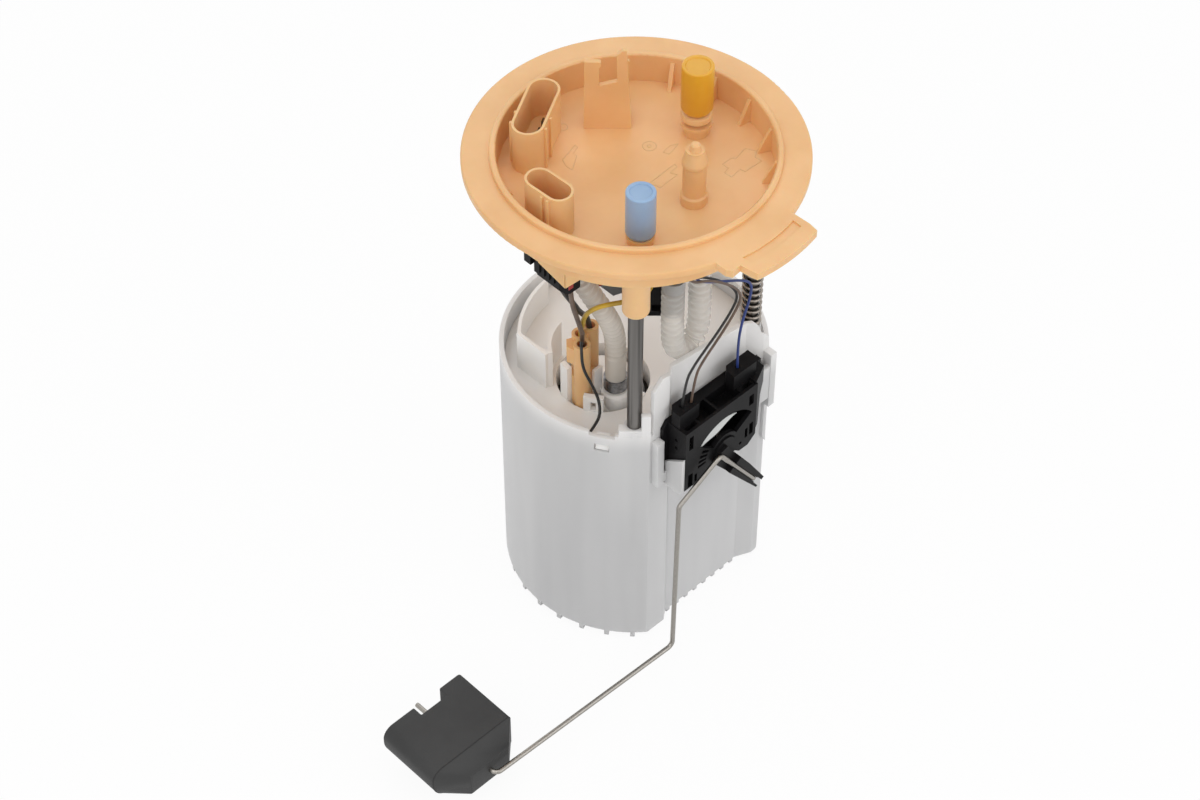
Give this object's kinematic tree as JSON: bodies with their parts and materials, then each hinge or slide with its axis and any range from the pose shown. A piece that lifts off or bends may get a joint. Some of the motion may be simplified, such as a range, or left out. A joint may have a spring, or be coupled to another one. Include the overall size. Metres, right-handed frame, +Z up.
{
  "type": "fuel pump module",
  "caption": "In-tank fuel pump module: flange with sockets and capped nipples, sprung guide rods, swirl pot with the pump, and a level sender with its float arm.",
  "frame": {"origin": "flange axis at the top face of the flange plate, where the lock ring's rim starts", "axes": "+Z up out of the tank along the flange axis, the level sender faces -Y, the float arm reaches towards -X"},
  "size_m": [0.2532, 0.164, 0.289],
  "materials": {
    "orange_plastic": "moulded, fine satin",
    "yellow_plastic": "smooth, slightly glossy",
    "blue_plastic": "smooth, slightly translucent",
    "white_plastic": "natural acetal, slightly translucent",
    "black_plastic": "moulded, satin",
    "float_rubber": "moulded closed-cell nitrile, matte",
    "steel": "drawn bar and wire, satin",
    "pump_case": "drawn tube, satin",
    "contact_metal": "tinned strip",
    "hose_plastic": "milky corrugated tube",
    "rubber": "moulded, matte",
    "ceramic_card": "printed card",
    "lead_brown": "insulation, satin",
    "lead_yellow": "insulation, satin",
    "lead_black": "insulation, satin",
    "lead_red": "insulation, satin",
    "lead_blue": "insulation, satin"
  },
  "bodies": {
    "flange_unit": {"flange": "orange_plastic", "large_socket_blades": "contact_metal", "small_socket_blades": "contact_metal", "guide_rod_front": "steel", "guide_rod_rear": "steel", "ring_clip": "steel", "harness_plug": "black_plastic", "sender_lead_plug": "black_plastic", "valve_block": "black_plastic", "drain_hose": "hose_plastic", "pump_lead_red": "lead_red"},
    "housing": {"swirl_pot": "white_plastic", "floor_valve": "rubber", "pump_holder": "white_plastic", "pump_can": "pump_case", "pump_end_cover": "white_plastic", "rubber_isolator": "rubber", "pump_inlet_cover": "black_plastic", "suction_strainer": "white_plastic", "jet_pump": "black_plastic", "pump_plug": "orange_plastic", "hose_clamp": "steel", "sender_housing": "black_plastic", "resistor_card": "ceramic_card", "ground_lead": "lead_black", "feed_hose": "hose_plastic", "pump_lead_brown": "lead_brown", "pump_lead_yellow": "lead_yellow", "pump_lead_black": "lead_black", "sender_lead_blue": "lead_blue", "sender_lead_black": "lead_black", "sender_lead_brown": "lead_brown", "return_spring": "steel"},
    "float_arm": {"sender_rotor": "black_plastic", "wiper_contacts": "contact_metal", "arm_wire": "steel"},
    "float_body": {"float": "float_rubber"},
    "feed_cap": {"blue_cap": "blue_plastic"},
    "vent_cap": {"yellow_cap": "yellow_plastic"}
  },
  "joints": [
    {"name": "housing_slide", "type": "slide", "parent": "flange_unit", "child": "housing", "axis": [0, 0, 1], "range_m": [0, 0.03], "stiffness_N_per_m": 300, "springref_m": -0.05, "deforming": ["feed_hose", "pump_lead_brown", "pump_lead_yellow", "pump_lead_black", "sender_lead_blue", "sender_lead_black", "sender_lead_brown", "return_spring"]},
    {"name": "float_arm_swing", "type": "hinge", "parent": "housing", "child": "float_arm", "pos_m": [-0.0035, -0.056, -0.138], "axis": [0, 1, 0], "range_deg": [0, 62]},
    {"name": "float_swivel", "type": "hinge", "parent": "float_arm", "child": "float_body", "pos_m": [-0.1506, -0.04, -0.2415], "axis": [0, 1, 0], "range_deg": [-20, 20]},
    {"name": "feed_cap_pull", "type": "slide", "parent": "flange_unit", "child": "feed_cap", "axis": [0, 0, 1], "range_m": [0, 0.03]},
    {"name": "vent_cap_pull", "type": "slide", "parent": "flange_unit", "child": "vent_cap", "axis": [0, 0, 1], "range_m": [0, 0.035]}
  ]
}
